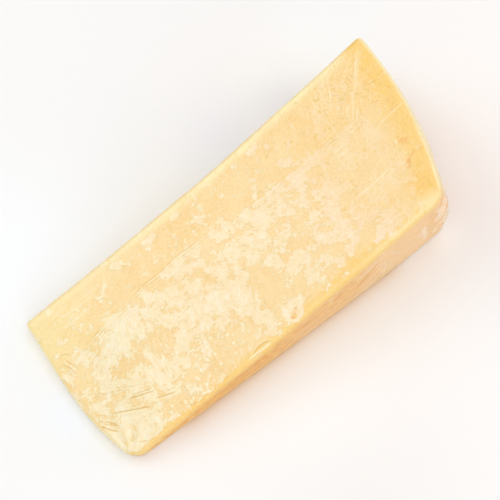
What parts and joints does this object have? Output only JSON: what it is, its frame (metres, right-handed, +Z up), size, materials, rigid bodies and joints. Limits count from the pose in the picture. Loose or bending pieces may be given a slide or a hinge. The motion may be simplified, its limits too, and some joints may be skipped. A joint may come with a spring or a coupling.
{
  "type": "wedge of grana padano cheese in cling film",
  "caption": "Long wedge of hard aged cheese with rind on its thick end and on one long side, wrapped tight in clear film and lying on a cut face.",
  "frame": {"origin": "middle of the footprint's bounding box, on the floor", "axes": "+X from the thin tip to the thick rind heel, +Y towards the side cut level through the wheel, -Y towards the wheel's flat rind face, +Z up"},
  "size_m": [0.2046, 0.0826, 0.0694],
  "materials": {
    "cheese": "straw yellow, fine grained, slightly oily cut paste",
    "rind": "dry golden tan rind, smooth and bare",
    "film": "thin clear stretch film, glossy, creased, milky where air is caught under it"
  },
  "bodies": {
    "root": {"wrapped_wedge": "cheese"}
  },
  "joints": []
}
